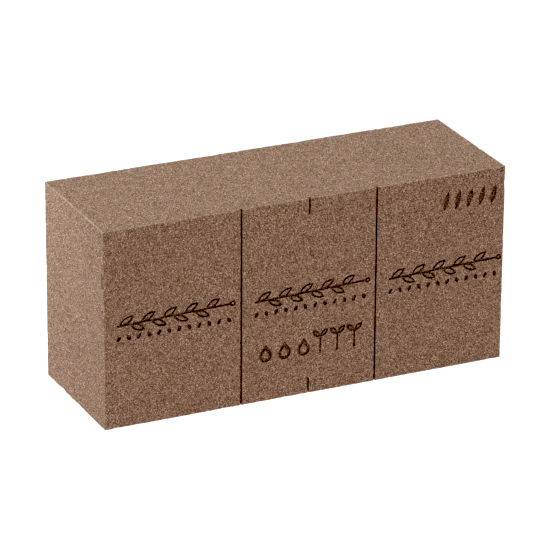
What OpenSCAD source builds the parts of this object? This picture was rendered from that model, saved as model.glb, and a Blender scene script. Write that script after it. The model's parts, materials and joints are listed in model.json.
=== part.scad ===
// Floral foam brick, scored for cutting into three sections.
// +X runs along the brick, the marked face looks along -Y, +Z is up.
// The origin is the middle of the base.

/* [Brick] */
// Length of the whole brick, along X
brick_length = 230; // [225:1:260]
// Depth from the marked face to the back, along Y
brick_depth = 78; // [40:1:120]
// Height of the brick, along Z
brick_height = 110; // [106:1:140]

/* [Score lines] */
// Distance from the left end to the middle of the first score line
first_score = 77.2; // [76:0.1:80]
// Distance between the two score lines
score_pitch = 77.4; // [76:0.1:80]
// Width of a score line
score_width = 1.1; // [0.6:0.1:1.6]
// Depth of a score line
score_depth = 1.5; // [0.8:0.1:3]
// Length of the half-way tick at the top and the bottom edge
tick_length = 9; // [4:0.5:12]

/* [Pressed marks] */
// Depth of the pressed marks
mark_depth = 1.2; // [0.6:0.1:2.5]
// Width of a thin stroke
thin_stroke = 1.2; // [0.7:0.1:1.3]
// Width of a bold stroke
bold_stroke = 1.9; // [1.4:0.1:2.2]
// Distance from a section's left side to its sprig and seed row
mark_margin = 7.6; // [4:0.1:8]

/* [Sprig and seed row] */
// Height of the sprig's middle above the base
sprig_level = 57.7; // [55:0.1:60]
// Length of the sprig's stem
sprig_length = 64; // [60:0.5:66]
// Number of leaves along the sprig, up and down in turn
leaf_count = 9; // [5:1:9]
// Length of a sprig leaf
leaf_length = 9.6; // [7:0.1:10]
// Height of the seed row's middle above the base
seed_level = 49.7; // [48:0.1:50]
// Number of seeds in the row
seed_count = 12; // [8:1:14]

/* [Drops and shoots] */
// Distance from the centre section's left side to the first drop
drop_margin = 10.1; // [8:0.1:12]
// Height of the foot of the drops and shoots above the base
drop_level = 21.8; // [18:0.1:26]
// Height of a water drop
drop_height = 10.4; // [8:0.1:11]
// Height of a shoot
shoot_height = 14; // [12:0.1:16]

/* [Corner leaves] */
// Distance from the right end to the outer side of the last leaf
corner_margin = 5.4; // [4:0.1:8]
// Height of the foot of the corner leaves above the base
corner_level = 89.8; // [86:0.1:92]
// Number of corner leaves
corner_count = 5; // [3:1:5]

/* [Hidden] */
$fn = 48;

foam_colour = "#7f6150";
clearance = 1;                        // how far a cutter stands out of the face it cuts

left_end = -brick_length / 2;
right_end = brick_length / 2;
front_face = -brick_depth / 2;
left_score = left_end + first_score;
right_score = left_score + score_pitch;
halfway = (left_score + right_score) / 2;

leaf_fullness = 0.42;                 // width of an outlined leaf over its length
leaf_width = leaf_fullness * leaf_length;
leaf_tilt = 28;
leaf_pitch = (sprig_length - leaf_length) / leaf_count;
bare_stem = 0.2 * leaf_pitch;         // length of stem before the first leaf
sprig_rise = 1.8;                     // how much higher the sprig's tip is than its foot
bud_radius = 1.7;

seed_length = 3.6;
seed_width = 2.2;
seed_tilt = 62;
seed_pitch = (sprig_length - seed_width) / (seed_count - 1);

drop_count = 3;
drop_tip_angle = 35;                  // half the angle between the two sides at the tip
drop_radius = drop_height / (1 + 1 / sin(drop_tip_angle));
drop_pitch = 11;
shoot_count = 3;
shoot_pitch = 9.9;
shoot_leaf_length = 6.2;
shoot_leaf_width = 3.2;
shoot_leaf_tilt = 42;
drops_to_shoots = 2.4;                // gap between the drops' room and the first shoot's stem
first_shoot = drop_count * drop_pitch + drops_to_shoots;

corner_leaf_length = 11;
corner_leaf_width = 3.4;
corner_leaf_tilt = 76;
corner_pitch = 7;

// A pointed leaf along +X from the origin: the overlap of two equal circles.
// inset draws it smaller all round by that much.
module leaf(length, width, inset = 0) {
    radius = (length * length + width * width) / (4 * width);
    shift = radius - width / 2;
    translate([length / 2, 0])
        intersection() {
            translate([0, shift]) circle(radius - inset);
            translate([0, -shift]) circle(radius - inset);
        }
}

module leaf_outline(length, width, stroke) {
    difference() {
        leaf(length, width);
        leaf(length, width, stroke);
    }
}

// A stem that climbs gently to a round bud, with leaves above and below it in turn.
module sprig() {
    slope = atan2(sprig_rise, sprig_length);
    translate([0, -sprig_rise / 2]) rotate(slope) {
        translate([0, -thin_stroke / 2]) square([sprig_length, thin_stroke]);
        for (i = [0 : leaf_count - 1])
            translate([bare_stem + i * leaf_pitch, 0])
                rotate(i % 2 == 0 ? leaf_tilt : -leaf_tilt)
                    leaf_outline(leaf_length, leaf_width, thin_stroke);
        translate([sprig_length + bud_radius - thin_stroke / 2, 0])
            difference() {
                circle(bud_radius);
                circle(bud_radius - thin_stroke);
            }
    }
}

// Solid seeds in a row, leaning left and right in turn.
module seed_row() {
    for (i = [0 : seed_count - 1])
        translate([seed_width / 2 + i * seed_pitch, 0])
            rotate(i % 2 == 0 ? seed_tilt : 180 - seed_tilt)
                translate([-seed_length / 2, 0])
                    leaf(seed_length, seed_width);
}

// A water drop that stands on y = 0. inset draws it smaller all round by that much.
module drop(inset = 0) {
    radius = drop_radius - inset;
    side = [radius * cos(drop_tip_angle), radius * sin(drop_tip_angle)];
    translate([drop_radius, drop_radius]) {
        circle(radius);
        polygon([[-side.x, side.y], side, [0, radius / sin(drop_tip_angle)]]);
    }
}

module drop_outline() {
    difference() {
        drop();
        drop(bold_stroke);
    }
}

// A young shoot that stands on y = 0: a slim stem under two opened leaves.
module shoot() {
    fork = shoot_height - shoot_leaf_length * sin(shoot_leaf_tilt) - thin_stroke / 2;
    translate([-thin_stroke / 2, 0]) square([thin_stroke, fork + thin_stroke / 2]);
    for (tilt = [shoot_leaf_tilt, 180 - shoot_leaf_tilt])
        translate([0, fork])
            rotate(tilt)
                leaf_outline(shoot_leaf_length, shoot_leaf_width, thin_stroke);
}

module drops_and_shoots() {
    for (i = [0 : drop_count - 1])
        translate([i * drop_pitch, 0]) drop_outline();
    for (i = [0 : shoot_count - 1])
        translate([first_shoot + i * shoot_pitch, 0]) shoot();
}

// Solid leaves side by side, all leaning to the right.
module corner_leaves() {
    for (i = [0 : corner_count - 1])
        translate([i * corner_pitch, 0])
            rotate(corner_leaf_tilt)
                leaf(corner_leaf_length, corner_leaf_width);
}

// Presses an outline, drawn with its origin at [x, level], into the marked face.
module press(x, level) {
    translate([x, front_face + mark_depth, level])
        rotate([90, 0, 0])
            linear_extrude(mark_depth + clearance) children();
}

module sprig_and_seeds(section_start) {
    press(section_start + mark_margin, sprig_level) sprig();
    press(section_start + mark_margin, seed_level) seed_row();
}

// A straight vertical groove in the marked face, centred on x, from one level to another.
module groove(x, low, high) {
    translate([x - score_width / 2, front_face - clearance, low])
        cube([score_width, clearance + score_depth, high - low]);
}

// The foam between two places along the brick, with its share of the score lines.
module section(start, end) {
    difference() {
        translate([start, front_face, 0]) cube([end - start, brick_depth, brick_height]);
        for (x = [left_score, right_score])
            groove(x, -clearance, brick_height + clearance);
        children();
    }
}

module left_section() {
    color(foam_colour)
        section(left_end, left_score)
            sprig_and_seeds(left_score - score_pitch);
}

module centre_section() {
    color(foam_colour)
        section(left_score, right_score) {
            groove(halfway, -clearance, tick_length);
            groove(halfway, brick_height - tick_length, brick_height + clearance);
            sprig_and_seeds(left_score);
            press(left_score + drop_margin, drop_level) drops_and_shoots();
        }
}

module right_section() {
    last_leaf = right_end - corner_margin - corner_leaf_length * cos(corner_leaf_tilt);
    color(foam_colour)
        section(right_score, right_end) {
            sprig_and_seeds(right_score);
            press(last_leaf - (corner_count - 1) * corner_pitch, corner_level) corner_leaves();
        }
}

left_section();
centre_section();
right_section();
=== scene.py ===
"""The looks of a floral foam brick: its three sections in fine, slightly crumbly brown foam."""

import json
import math

import bmesh
import bpy
import numpy as np
from mathutils import Matrix, Vector
from mathutils.geometry import delaunay_2d_cdt
from mathutils.kdtree import KDTree


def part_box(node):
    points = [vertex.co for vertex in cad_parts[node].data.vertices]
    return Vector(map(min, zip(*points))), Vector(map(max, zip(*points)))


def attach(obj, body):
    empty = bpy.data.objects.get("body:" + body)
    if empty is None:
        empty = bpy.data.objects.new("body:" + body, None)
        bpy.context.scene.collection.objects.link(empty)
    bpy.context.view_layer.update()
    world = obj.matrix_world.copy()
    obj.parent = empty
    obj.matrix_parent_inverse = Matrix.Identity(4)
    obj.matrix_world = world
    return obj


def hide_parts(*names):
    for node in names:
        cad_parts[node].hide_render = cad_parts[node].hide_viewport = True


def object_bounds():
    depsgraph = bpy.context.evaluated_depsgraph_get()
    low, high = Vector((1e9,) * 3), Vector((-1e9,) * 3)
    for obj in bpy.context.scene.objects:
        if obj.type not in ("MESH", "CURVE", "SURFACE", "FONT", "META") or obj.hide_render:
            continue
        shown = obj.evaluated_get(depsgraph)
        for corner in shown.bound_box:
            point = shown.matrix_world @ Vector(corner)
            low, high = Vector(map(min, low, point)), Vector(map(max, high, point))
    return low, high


MM = 0.001

# Mesh of the foam: the marked face is fine all over, the others are fine along their edges only
WELD = 0.001 * MM                   # points and planes nearer to each other than this are one
FLAT_ANGLE = math.radians(0.5)      # faces that meet at less than this lie in one plane
FACING = 0.9                        # a face looks along an axis if that part of its normal is over this
ACROSS_LIMIT = 0.7                  # planes that face this far along X are laid out from Y, the rest from X
EDGE_STEP = 0.5 * MM
FINE_STEP = 0.56 * MM
COARSE_STEP = 1.1 * MM
FINE_BAND = 2.5 * MM
BAND_GAP = COARSE_STEP / 3          # room between the fine band and the coarse points
RIM_WIDTH = 0.25 * MM               # a row of points this far inside a face's sides keeps its edges crisp
RIM_ROOM = RIM_WIDTH * 0.9          # and its points keep at least this far from any outline
POINT_SHIFT = 0.3                   # how far a point strays, as a share of the step
SMALLEST_FILLED = 0.5 * MM ** 2     # smaller faces get no points inside their outline
MESH_SEED = 3

# Surface of the foam
SKIN = 0.08 * MM                    # how far the faces are pulled in to make room for the grain
EDGE_RADIUS = 0.25 * MM
GRAIN_SIZE = 1.1 * MM
GRAIN_HEIGHT = 0.05 * MM
GRAIN_SEED = 31
GRIT_SIZE = 0.3 * MM
GRIT_HEIGHT = 0.06 * MM
GRIT_SEED = 37
WAVE_SIZE = 28 * MM
WAVE_HEIGHT = 0.12 * MM
WAVE_SEED = 23
CRUMBLE_SIZES = (7 * MM, 2.2 * MM, 0.9 * MM)
CRUMBLE_DEPTH = 0.4 * MM
CRUMBLE_REACH = 0.7 * MM            # how far from an edge it crumbles
CRUMBLE_FROM = 0.25                 # the noise at which it starts to
CRUMBLE_SEED = 11
WEAR_AND_HIGHLIGHT_REACH = 0.32 * MM              # how far from an edge the pale line of rubbed dust and painted highlight reaches
WEAR_AND_HIGHLIGHT_SHARES = np.array([0.3, 0.6, 0.25])         # how pale the edges along X, Y and Z are made: rubbed dust and a painted highlight, most along Y, where the top left edge faces the key lamp
CUT_DEPTH = 0.3 * MM                # roughness of the faces where the sections part
CUT_SIZES = (1.4 * MM, 0.4 * MM)
CUT_SEED = 41
CHIP_COUNT = 46
CHIP_SEED = 51
CHIP_RADII = (0.5 * MM, 1.4 * MM)
CHIP_BIAS = 3                       # 1 for chips of every size alike, more for mostly small ones
CHIP_STRETCH = 3                    # how much longer than wide a chip is, along its edge
CHIP_DEPTH = 0.75                   # depth at its middle, as a share of its radius
CHIP_ROUGHNESS = 0.5                # how much that varies within it
CHIP_NOISE_SEED = 17
NOTCH_LEVEL = 81.5 * MM             # the one clear notch: a splinter gone from the marked face's left edge
NOTCH_SIZE = np.array([1.1, 2.7, 9]) * MM
NOTCH_DEPTH = 0.9                   # how far back it pushes the face, as a share of its size along Y
NOTCH_STEEPNESS = 5
CRUSHED_AND_SHADE_RAMP = 3                    # a score line or mark is dark from a third of its depth: crushed foam, and painted shade in the recess

# Camera
CAMERA_AZIMUTH = math.radians(-25.2)
CAMERA_ELEVATION = math.radians(22.5)
CAMERA_ROLL = math.radians(0.39)
CAMERA_DISTANCE = 2.115
CAMERA_AIM = Vector((-0.75, -0.6, -2.1)) * MM     # from the middle of the brick
CAMERA_LENS = 262
CAMERA_SENSOR = 36
CAMERA_REACH = (0.05, 50)

# Lights and floor
WHITE = (1, 1, 1)
LAMP_WHITE = (0.85, 0.97, 1)
SKY_WHITE = (0.94, 0.97, 0.98)
LAMPS = {                           # each lamp's place, width, power and colour
    "key": ((-2.0, -0.64, 1.92), 1.6, 60, LAMP_WHITE),
    "overhead": ((0, 0, 3), 3, 82, SKY_WHITE),
    "side": ((-0.21, 0.1, 0.128), 0.08, 0.15, LAMP_WHITE),
}
WORLD_LIGHT = 0.62                  # what the world sheds on things
WORLD_SEEN = 1.2                    # how bright it is itself, behind them
BLACK_LEVEL = 0.045                 # light below this shows as black
FLOOR_RADIUS = 12
FLOOR_SIDES = 96
GLOW_CENTRE = (0.04, -0.03, 0)
NEAR_GLOW = 0.52                    # light that the floor itself gives under and round the brick
NEAR_FADE = (0.1, 0.3)              # metres from the glow's centre between which that fades away
FAR_GLOW = 0.8                      # light that it gives far off, where the lamps hardly reach it
FAR_RISE = (0.3, 2.5)               # metres from the same centre between which that sets in

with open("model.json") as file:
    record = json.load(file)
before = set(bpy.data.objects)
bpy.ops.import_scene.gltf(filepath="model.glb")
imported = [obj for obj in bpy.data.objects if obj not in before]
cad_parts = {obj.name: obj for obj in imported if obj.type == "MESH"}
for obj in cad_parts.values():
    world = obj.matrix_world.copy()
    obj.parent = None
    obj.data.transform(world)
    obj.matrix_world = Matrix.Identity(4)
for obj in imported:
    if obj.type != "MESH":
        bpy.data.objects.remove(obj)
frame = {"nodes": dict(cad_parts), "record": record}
cad_box = [list(corner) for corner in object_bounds()]
brick_low, brick_high = (np.array(corner) for corner in cad_box)


# ---------------------------------------------------------------------------- noise

HASH_FACTORS = np.array([374761393, 668265263, 3266489917], dtype=np.uint32)
SEED_FACTOR = np.uint32(2246822519)
MIX_FACTOR = np.uint32(2654435761)
MIX_SHIFTS = (15, 13, 16)
HALF_RANGE = (2 ** 32 - 1) / 2


def hashed(cells, seed):
    """A number from -1 to 1 for each row of three whole numbers."""
    value = (cells.astype(np.uint32) * HASH_FACTORS).sum(axis=1, dtype=np.uint32)
    value += np.uint32(seed) * SEED_FACTOR
    for shift in MIX_SHIFTS:
        value = (value ^ (value >> np.uint32(shift))) * MIX_FACTOR
    return value.astype(np.float64) / HALF_RANGE - 1


def noise(points, size, seed):
    """Smooth noise from -1 to 1 with cells of that size, the same wherever a place is asked for."""
    spots = points / size
    cells = np.floor(spots).astype(np.int64)
    part = spots - cells
    part = part * part * (3 - 2 * part)
    total = np.zeros(len(points))
    for corner in np.ndindex(2, 2, 2):
        near = np.array(corner)
        weight = np.prod(np.where(near, part, 1 - part), axis=1)
        total += weight * hashed(cells + near, seed)
    return total


def noise_vector(points, size, seed):
    return np.stack([noise(points, size, seed + i) for i in range(3)], axis=1)


# ---------------------------------------------------------------------------- meshing

def planar_regions(shell):
    """The faces of a mesh in groups that each lie in one plane."""
    seen = set()
    for start in shell.faces:
        if start in seen:
            continue
        seen.add(start)
        region, waiting = [], [start]
        while waiting:
            face = waiting.pop()
            region.append(face)
            flat = (edge for edge in face.edges if edge.calc_face_angle() < FLAT_ANGLE)
            for other in {f for edge in flat for f in edge.link_faces} - seen:
                seen.add(other)
                waiting.append(other)
        yield region


def outlines(region):
    """The closed outlines of a planar region, each a list of corners, solid on the left."""
    following = {}
    for face in region:
        for loop in face.loops:
            if loop.edge.calc_face_angle() >= FLAT_ANGLE:
                following.setdefault(loop.vert.index, []).append(loop.link_loop_next.vert.index)
    while following:
        path = [next(iter(following))]
        while True:
            options = following[path[-1]]
            corner = options.pop()
            if not options:
                del following[path[-1]]
            if corner == path[0]:
                break
            path.append(corner)
        yield path


def plane_axes(normal):
    """Two directions at right angles in the plane with that normal, the first near X or Y."""
    across = Vector((1, 0, 0)) if abs(normal.x) < ACROSS_LIMIT else Vector((0, 1, 0))
    across = (across - normal * across.dot(normal)).normalized()
    return across, normal.cross(across)


def scattered(low, high, step, random):
    """Points about a step apart that fill a rectangle, in no clear rows."""
    row_step = step * math.sqrt(3) / 2
    across, up = np.meshgrid(np.arange(low[0], high[0], step), np.arange(low[1], high[1], row_step))
    across = across + (np.arange(len(across)) % 2)[:, None] * step / 2
    points = np.stack([across.ravel(), up.ravel()], axis=1)
    return points + random.uniform(-POINT_SHIFT, POINT_SHIFT, points.shape) * step


def bordering(low, high):
    """Points along the sides of a rectangle, a step apart."""
    across, up = (np.arange(start, end, EDGE_STEP) for start, end in zip(low, high))
    level = [(x, y) for y in (low[1], high[1]) for x in across]
    upright = [(x, y) for x in (low[0], high[0]) for y in up]
    return np.array(level + upright)


def clearances(points, outline):
    """How far each point is from the nearest point of an outline."""
    tree = KDTree(len(outline))
    for i, spot in enumerate(outline):
        tree.insert((*spot, 0), i)
    tree.balance()
    return np.array([tree.find((*spot, 0))[2] for spot in points])


def filling(outline, marked, random):
    """Points inside an outline: fine on the marked face, else fine near the outline only."""
    low, high = outline.min(axis=0), outline.max(axis=0)
    rim = bordering(low + RIM_WIDTH, high - RIM_WIDTH)
    rim = rim[clearances(rim, outline) > RIM_ROOM]
    outline = np.concatenate([outline, rim])
    fine = scattered(low, high, FINE_STEP, random)
    room = clearances(fine, outline)
    if marked:
        return np.concatenate([rim, fine[room > FINE_STEP / 2]])
    coarse = scattered(low, high, COARSE_STEP, random)
    inside = coarse[clearances(coarse, outline) > FINE_BAND + BAND_GAP]
    return np.concatenate([rim, fine[(room > FINE_STEP / 2) & (room < FINE_BAND)], inside])


def signed_area(corners):
    x, y = corners[:, 0], corners[:, 1]
    return (x * np.roll(y, -1) - np.roll(x, -1) * y).sum() / 2


def triangulated(spots, faces):
    """Triangles of spot numbers, all through the faces, each with the numbers of the faces it lies in."""
    inside_faces, tolerance, trace = 1, 1e-6, True
    made = delaunay_2d_cdt(spots, [], faces, inside_faces, tolerance, trace)
    _, _, cells, sources, _, holders = made
    for cell, holder in zip(cells, holders):
        yield [sources[i][0] for i in cell], holder


class FineMesh:
    """A CAD solid's own faces, meshed again in small even triangles."""

    def __init__(self, node, random):
        shell = bmesh.new()
        shell.from_mesh(node.data)
        bmesh.ops.remove_doubles(shell, verts=shell.verts, dist=WELD)
        shell.verts.index_update()
        self.points = [vert.co.copy() for vert in shell.verts]
        self.chains = {}
        self.triangles = []
        self.regions = []
        for region in planar_regions(shell):
            self.fill(region, random)
        shell.free()
        self.tidy()

    def add(self, point):
        self.points.append(point)
        return len(self.points) - 1

    def chain(self, start, end):
        """The points along an edge, the same ones from either of its two faces."""
        key = (min(start, end), max(start, end))
        if key not in self.chains:
            low, high = (self.points[i] for i in key)
            parts = max(1, round((high - low).length / EDGE_STEP))
            self.chains[key] = [self.add(low.lerp(high, i / parts)) for i in range(1, parts)]
        return self.chains[key] if start < end else self.chains[key][::-1]

    def ring(self, path):
        """The point numbers all along a closed outline."""
        steps = zip(path, path[1:] + path[:1])
        return [i for start, end in steps for i in (start, *self.chain(start, end))]

    def fill(self, region, random):
        """Adds a flat region's triangles, and keeps its normal, its points and those on its outlines."""
        normal = region[0].normal.copy()
        across, up = plane_axes(normal)
        rings = [self.ring(path) for path in outlines(region)]
        rim = [i for ring in rings for i in ring]
        flat = np.array([(self.points[i].dot(across), self.points[i].dot(up)) for i in rim])
        base = normal * self.points[rim[0]].dot(normal)
        inside = np.zeros((0, 2))
        if sum(face.calc_area() for face in region) > SMALLEST_FILLED:
            inside = filling(flat, normal.y < -FACING, random)
        names = rim + [self.add(base + across * x + up * y) for x, y in inside]
        faces, first = [], 0
        for ring in rings:
            members = list(range(first, first + len(ring)))
            first += len(ring)
            faces.append(members if signed_area(flat[members]) > 0 else members[::-1])
        outer = max(range(len(faces)), key=lambda i: abs(signed_area(flat[faces[i]])))
        spots = [Vector(spot) / MM for spot in (*flat, *inside)]
        made = [[names[i] for i in cell] for cell, holder in triangulated(spots, faces) if holder == [outer]]
        self.regions.append((np.array(normal), np.unique(made), rim))
        self.triangles.extend(made)

    def tidy(self):
        """Drops the points that no triangle uses, which lay inside a hole of their face."""
        used, triangles = np.unique(self.triangles, return_inverse=True)
        place = np.full(len(self.points), -1)
        place[used] = np.arange(len(used))
        self.points = np.array(self.points)[used]
        self.triangles = triangles.reshape(-1, 3)
        self.regions = [(normal, place[body], place[rim]) for normal, body, rim in self.regions]


# ---------------------------------------------------------------------------- foam surface

def pressed_shade(mesh):
    """How dark each point is made, for crushed foam and painted shade in the recesses: 0 on the faces, 1 in
    a score line, and less in the shallower marks.
    """
    deepest = max(mesh.points[body, 1].max() for normal, body, _ in mesh.regions if normal[1] < -FACING)
    reach = deepest - brick_low[1]
    shade = np.zeros(len(mesh.points))
    for _, body, _ in mesh.regions:
        spots = mesh.points[body]
        outside = np.abs(np.concatenate([spots - brick_low, spots - brick_high], axis=1)) < WELD
        if spots[:, 1].max() <= deepest + WELD and not outside.all(axis=0).any():
            depth = (spots[:, 1] - brick_low[1]) / reach
            shade[body] = np.clip(depth * CRUSHED_AND_SHADE_RAMP, 0, 1) * depth.max()
    return shade


def rounded(points, core_low, core_high, radius):
    """Points on a box, drawn in so that its edges have that radius. Also the way out at each."""
    core = np.clip(points, core_low, core_high)
    out = points - core
    length = np.linalg.norm(out, axis=1, keepdims=True)
    out = np.divide(out, length, out=np.zeros_like(out), where=length > 0)
    return np.where(length > radius, core + out * radius, points), out


def side_room(points):
    """How far each point is, along each axis, from the nearer side of the brick."""
    return np.minimum(points - brick_low, brick_high - points)


def edge_closeness(points, reach):
    """1 on the brick's outer edges, falling to 0 away from them."""
    second_nearest = np.sort(side_room(points), axis=1)[:, 1]
    return np.exp(-((second_nearest / reach) ** 2))


def wear_and_highlight_shade(points):
    """How pale each point is made by rubbed dust and a painted highlight, by the direction in which its
    nearest outer edge runs.
    """
    edge_axis = side_room(points).argmax(axis=1)
    return edge_closeness(points, WEAR_AND_HIGHLIGHT_REACH) * WEAR_AND_HIGHLIGHT_SHARES[edge_axis]


def chip_places(random):
    """Small chips in the brick's outer edges: each one's centre, and its radii along the three axes."""
    size = brick_high - brick_low
    shapes = np.where(np.eye(3, dtype=bool), CHIP_STRETCH, 1)
    for _ in range(CHIP_COUNT):
        along = random.choice(3, p=size / size.sum())
        spot = np.where(random.random(3) < 0.5, brick_low, brick_high)
        spot[along] = random.uniform(brick_low[along], brick_high[along])
        low, high = CHIP_RADII
        yield spot, (low + (high - low) * random.random() ** CHIP_BIAS) * shapes[along]


def edge_loss(points):
    """How far crumbling and chips have eaten into the brick at each point."""
    crumble = sum(noise(points, size, CRUMBLE_SEED + i) / (i + 1) for i, size in enumerate(CRUMBLE_SIZES))
    loss = edge_closeness(points, CRUMBLE_REACH) * np.clip(crumble - CRUMBLE_FROM, 0, 1) * CRUMBLE_DEPTH
    for spot, radii in chip_places(np.random.default_rng(CHIP_SEED)):
        radius = radii.min()
        closeness = np.clip(1 - np.linalg.norm((points - spot) / radii, axis=1), 0, None)
        depth = CHIP_DEPTH + CHIP_ROUGHNESS * noise(points, radius / 2, CHIP_NOISE_SEED)
        loss = np.maximum(loss, radius * closeness * depth)
    return loss


def notch_push(points):
    """How far back the notch moves each point: its sides are steep and its floor is nearly flat."""
    across, back = ((points[:, i] - brick_low[i]) / NOTCH_SIZE[i] for i in range(2))
    up = 2 * (points[:, 2] - NOTCH_LEVEL) / NOTCH_SIZE[2]
    inner_side = np.clip((1 - across) * NOTCH_STEEPNESS, 0, 1)
    ends = np.clip((1 - up ** 2) * NOTCH_STEEPNESS / 2, 0, 1)
    return NOTCH_SIZE[1] * NOTCH_DEPTH * np.clip(inner_side * ends - back, 0, None)


def roughen_cut(moved, mesh, cut):
    """Roughens the face where two sections part, but not its rim, so that they still meet there."""
    for normal, body, rim in mesh.regions:
        if abs(normal[0]) > FACING and np.abs(mesh.points[body, 0] - cut).max() < WELD:
            inner = np.setdiff1d(body, rim)
            rough = sum(noise(mesh.points[inner], size, CUT_SEED) for size in CUT_SIZES) / 2
            moved[inner, 0] -= normal[0] * CUT_DEPTH * (rough + 1) / 2


def weathered(mesh, cuts):
    """The mesh's points on a real foam surface: grain, waves, crumbled edges, chips and rough cuts."""
    points = mesh.points
    pulled = np.clip(points, brick_low + SKIN, brick_high - SKIN)
    core = SKIN + EDGE_RADIUS
    moved, out = rounded(pulled, brick_low + core, brick_high - core, EDGE_RADIUS)
    inward = edge_loss(points)
    inward -= WAVE_HEIGHT * (noise(points, WAVE_SIZE, WAVE_SEED) - 1) / 2
    shift = GRAIN_HEIGHT * noise_vector(points, GRAIN_SIZE, GRAIN_SEED)
    shift += GRIT_HEIGHT * noise_vector(points, GRIT_SIZE, GRIT_SEED)
    shift -= out * inward[:, None]
    for cut in cuts:
        shift[:, 0] *= np.clip(np.abs(points[:, 0] - cut) / GRAIN_SIZE, 0, 1)
    moved = moved + shift
    moved[:, 1] += notch_push(points)
    for cut in cuts:
        roughen_cut(moved, mesh, cut)
    return np.clip(moved, brick_low, brick_high)


def foam_piece(name, node_name, body, cuts, material, random):
    mesh = FineMesh(frame["nodes"][node_name], random)
    data = bpy.data.meshes.new(name)
    data.from_pydata(weathered(mesh, cuts), [], mesh.triangles)
    # Two painted tones: rubbed dust and a painted highlight on the edges, and crushed foam and painted shade
    # in the score lines and marks.
    for label, values in (("pressed", pressed_shade(mesh)), ("wear_and_highlight", wear_and_highlight_shade(mesh.points))):
        attribute = data.attributes.new(label, "FLOAT", "POINT")
        attribute.data.foreach_set("value", values.astype(np.float32))
    data.materials.append(material)
    piece = bpy.data.objects.new(name, data)
    bpy.context.scene.collection.objects.link(piece)
    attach(piece, body)
    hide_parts(node_name)


# ---------------------------------------------------------------------------- materials

class Nodes:
    """A short way to write a material's node tree."""

    def __init__(self, name):
        self.material = bpy.data.materials.new(name)
        self.material.use_nodes = True
        self.tree = self.material.node_tree
        self.shader = self.tree.nodes["Principled BSDF"]

    def add(self, kind, inputs, **settings):
        node = self.tree.nodes.new("ShaderNode" + kind)
        for key, value in settings.items():
            setattr(node, key, value)
        self.set(node, inputs)
        return node

    def set(self, node, inputs):
        """Sets a node's sockets: each to a plain value, or linked to another node's socket."""
        for key, value in inputs.items():
            if isinstance(value, bpy.types.NodeSocket):
                self.tree.links.new(value, node.inputs[key])
            else:
                node.inputs[key].default_value = value

    def place(self):
        return self.add("TexCoord", {}).outputs["Object"]

    def math(self, operation, first, second):
        return self.add("Math", {0: first, 1: second}, operation=operation).outputs[0]

    def spread(self, value, low, high, to_low=0.0, to_high=1.0, interpolation="LINEAR"):
        """The value moved from one range to another, and kept inside it."""
        inputs = {"Value": value, "From Min": low, "From Max": high, "To Min": to_low, "To Max": to_high}
        return self.add("MapRange", inputs, interpolation_type=interpolation).outputs[0]

    def mix(self, factor, first, second, blend="MIX"):
        made = self.add("Mix", {0: factor, 6: first, 7: second}, data_type="RGBA", blend_type=blend)
        return made.outputs[2]

    def ramp(self, value, dark, middle, light):
        """The colour between the three for a value from 0 to 1."""
        made = self.add("ValToRGB", {"Fac": value})
        stops = made.color_ramp.elements
        stops[0].color = dark
        stops[1].color = light
        stops.new(0.5).color = middle
        return made.outputs["Color"]

    def noise(self, place, size, detail=2.0, roughness=0.5):
        inputs = {"Vector": place, "Scale": 1 / size, "Detail": detail, "Roughness": roughness}
        return self.add("TexNoise", inputs).outputs["Fac"]

    def attribute(self, name):
        return self.add("Attribute", {}, attribute_name=name).outputs["Fac"]


def linear(red, green, blue):
    """An sRGB colour, each part from 0 to 255, as the shader's linear one."""
    def part(value):
        value /= 255
        return value / 12.92 if value <= 0.04045 else ((value + 0.055) / 1.055) ** 2.4
    return (part(red), part(green), part(blue), 1)


NOISE_RANGE = (0.3, 0.7)            # nearly all of a noise texture lies in this
CELL_SIZE = 0.32 * MM
CELL_BUMP = 0.25 * MM
GRAIN_PATCH = 1.6 * CELL_SIZE
CELL_TONES = (-0.5, 0.5)            # how much the foam's tone varies from cell to cell
GRAIN_TONES = (0.38, 0.62)          # and with the grain over them: 0 is dark, 0.5 middle and 1 light
FOAM_DARK = linear(53, 36, 29)
FOAM_MIDDLE = linear(112, 88, 72)
FOAM_LIGHT = linear(168, 141, 124)
FLECK_FROM = (0.91, 0.94)           # cells whose chance number is over this are bright flecks
FLECK_STRENGTH = 0.7
FOAM_FLECK = linear(234, 208, 185)
PATCH_SIZE = 10 * MM
PATCH_RANGE = (0.35, 0.65)
PATCH_STRENGTH = 0.17
FOAM_PINK = linear(129, 94, 80)
FOAM_OLIVE = linear(120, 96, 70)
GAP_SIZE = 9 * MM                   # length of the gaps in an edge's pale line of rubbed dust and painted highlight
GAP_RANGE = (0.4, 0.55)
GAP_WEAR_AND_HIGHLIGHT = (0.25, 1.0)              # how much of the edge's pale line shows in a gap and between gaps
# Pale edge colour: rubbed dust, and a painted highlight.
FOAM_DUST_AND_HIGHLIGHT = linear(216, 192, 170)
# Tint for the score lines and marks: crushed foam, and painted shade in the recesses.
CRUSHED_AND_SHADE_TINT = (0.5, 0.5, 0.5, 1)
FOAM_ROUGHNESS = (0.82, 1.0)
FOAM_SPECULAR = 0.2
FLOOR_TONES = (linear(224, 212, 210), linear(227, 215, 213))
FLOOR_PATCH = 0.2                   # metres across a patch of either tone
FLOOR_ROUGHNESS = 0.8


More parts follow.
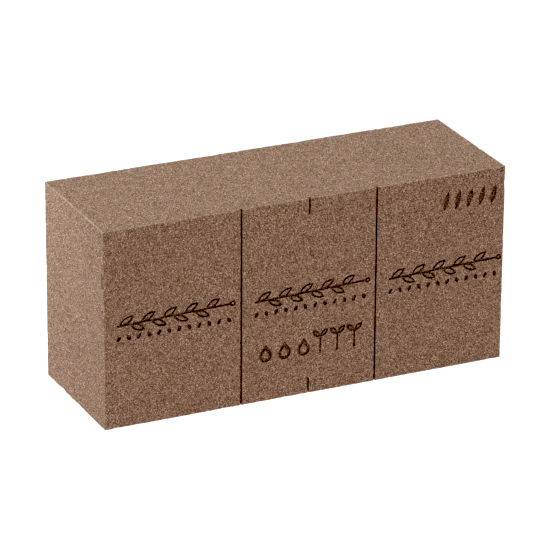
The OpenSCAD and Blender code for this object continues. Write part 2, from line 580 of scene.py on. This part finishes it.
def foam_material():
    """Brown foam: each open cell has its own tone, with a few bright flecks and faint patches, pale edges of
    rubbed dust and painted highlight, and score lines and marks darkened by crushed foam and painted shade.
    """
    nodes = Nodes("foam")
    place = nodes.place()
    cells = nodes.add("TexVoronoi", {"Vector": place, "Scale": 1 / CELL_SIZE})
    chance = nodes.add("SeparateColor", {"Color": cells.outputs["Color"]})
    grain = nodes.noise(place, GRAIN_PATCH, detail=1.0, roughness=0.6)
    cell_tone = nodes.spread(chance.outputs["Red"], 0, 1, *CELL_TONES)
    tone = nodes.math("ADD", cell_tone, nodes.spread(grain, *NOISE_RANGE, *GRAIN_TONES))
    colour = nodes.ramp(tone, FOAM_DARK, FOAM_MIDDLE, FOAM_LIGHT)
    fleck = nodes.spread(chance.outputs["Green"], *FLECK_FROM, 0, FLECK_STRENGTH)
    colour = nodes.mix(fleck, colour, FOAM_FLECK)
    patches = nodes.spread(nodes.noise(place, PATCH_SIZE), *PATCH_RANGE)
    colour = nodes.mix(PATCH_STRENGTH, colour, nodes.mix(patches, FOAM_PINK, FOAM_OLIVE))
    # Pale line along the edges, with gaps: rubbed dust, and a painted highlight.
    gaps = nodes.spread(nodes.noise(place, GAP_SIZE, detail=4.0, roughness=0.7), *GAP_RANGE, *GAP_WEAR_AND_HIGHLIGHT)
    wear_and_highlight = nodes.math("MULTIPLY", nodes.attribute("wear_and_highlight"), gaps)
    colour = nodes.mix(wear_and_highlight, colour, FOAM_DUST_AND_HIGHLIGHT)
    # Score lines and marks darkened: crushed foam, and painted shade in the recesses.
    colour = nodes.mix(nodes.attribute("pressed"), colour, CRUSHED_AND_SHADE_TINT, "MULTIPLY")
    bump = nodes.add("Bump", {"Height": cells.outputs["Distance"], "Strength": 1, "Distance": CELL_BUMP})
    nodes.set(nodes.shader, {
        "Base Color": colour,
        "Roughness": nodes.spread(grain, *NOISE_RANGE, *FOAM_ROUGHNESS),
        "Specular IOR Level": FOAM_SPECULAR,
        "Normal": bump.outputs["Normal"],
    })
    return nodes.material


def floor_material():
    """A pale matt table, lit from below round the brick and far off, so that it is white to the horizon."""
    nodes = Nodes("floor")
    place = nodes.place()
    tone = nodes.spread(nodes.noise(place, FLOOR_PATCH), *NOISE_RANGE)
    distance = nodes.add("VectorMath", {0: place, 1: GLOW_CENTRE}, operation="DISTANCE").outputs["Value"]
    near_glow = nodes.spread(distance, *NEAR_FADE, NEAR_GLOW, 0, "SMOOTHSTEP")
    far_glow = nodes.spread(distance, *FAR_RISE, 0, FAR_GLOW, "SMOOTHSTEP")
    nodes.set(nodes.shader, {
        "Base Color": nodes.mix(tone, *FLOOR_TONES),
        "Roughness": FLOOR_ROUGHNESS,
        "Emission Color": (*WHITE, 1),
        "Emission Strength": nodes.math("ADD", near_glow, far_glow),
    })
    return nodes.material


# ---------------------------------------------------------------------------- stage

def make_floor():
    data = bpy.data.meshes.new("floor")
    shape = bmesh.new()
    bmesh.ops.create_circle(shape, cap_ends=True, segments=FLOOR_SIDES, radius=FLOOR_RADIUS)
    shape.to_mesh(data)
    shape.free()
    data.materials.append(floor_material())
    floor = bpy.data.objects.new("floor", data)
    bpy.context.scene.collection.objects.link(floor)


def aimed(place, target):
    """Where a camera or lamp at place stands when it looks at target, its right side level."""
    turn = (target - place).to_track_quat("-Z", "Y")
    return Matrix.Translation(place) @ turn.to_matrix().to_4x4()


def make_camera(middle):
    data = bpy.data.cameras.new("camera")
    data.lens = CAMERA_LENS
    data.sensor_width = CAMERA_SENSOR
    data.clip_start, data.clip_end = CAMERA_REACH
    away = Vector((
        math.sin(CAMERA_AZIMUTH) * math.cos(CAMERA_ELEVATION),
        -math.cos(CAMERA_AZIMUTH) * math.cos(CAMERA_ELEVATION),
        math.sin(CAMERA_ELEVATION),
    ))
    target = middle + CAMERA_AIM
    camera = bpy.data.objects.new("camera", data)
    stand = aimed(target + away * CAMERA_DISTANCE, target)
    camera.matrix_world = stand @ Matrix.Rotation(CAMERA_ROLL, 4, "Z")
    bpy.context.scene.collection.objects.link(camera)
    bpy.context.scene.camera = camera


def make_lamp(name, target, place, width, power, colour):
    """A soft square lamp that looks at the target and isn't seen itself."""
    data = bpy.data.lights.new(name, "AREA")
    data.size = width
    data.energy = power
    data.color = colour
    lamp = bpy.data.objects.new(name, data)
    lamp.matrix_world = aimed(Vector(place), target)
    lamp.visible_camera = False
    bpy.context.scene.collection.objects.link(lamp)


def make_world():
    """Even light from all round, with a pure white background behind it."""
    world = bpy.data.worlds.new("studio")
    world.use_nodes = True
    tree = world.node_tree
    seen = tree.nodes.new("ShaderNodeLightPath").outputs["Is Camera Ray"]
    strength = tree.nodes.new("ShaderNodeMapRange")
    strength.inputs["To Min"].default_value = WORLD_LIGHT
    strength.inputs["To Max"].default_value = WORLD_SEEN
    tree.links.new(seen, strength.inputs["Value"])
    background = tree.nodes["Background"]
    background.inputs["Color"].default_value = (*WHITE, 1)
    tree.links.new(strength.outputs[0], background.inputs["Strength"])
    bpy.context.scene.world = world


def set_tones():
    """Plain tones, with true whites and slightly deepened shadows."""
    tones = bpy.context.scene.view_settings
    tones.view_transform = "Standard"
    tones.use_curve_mapping = True
    tones.curve_mapping.black_level = (BLACK_LEVEL,) * 3
    tones.curve_mapping.update()


middle = Vector((brick_low + brick_high) / 2)
make_camera(middle)
make_world()
make_floor()
for lamp_name, settings in LAMPS.items():
    make_lamp(lamp_name, middle, *settings)
set_tones()

foam = foam_material()
mesh_random = np.random.default_rng(MESH_SEED)
for joint_body, nodes_on_it in frame["record"]["behaviour"]["bodies"].items():
    for node_name in nodes_on_it:
        ends = [corner.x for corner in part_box(node_name)]
        cuts = [x for x in ends if WELD < x - brick_low[0] and WELD < brick_high[0] - x]
        foam_piece("foam_" + node_name, node_name, joint_body, cuts, foam, mesh_random)
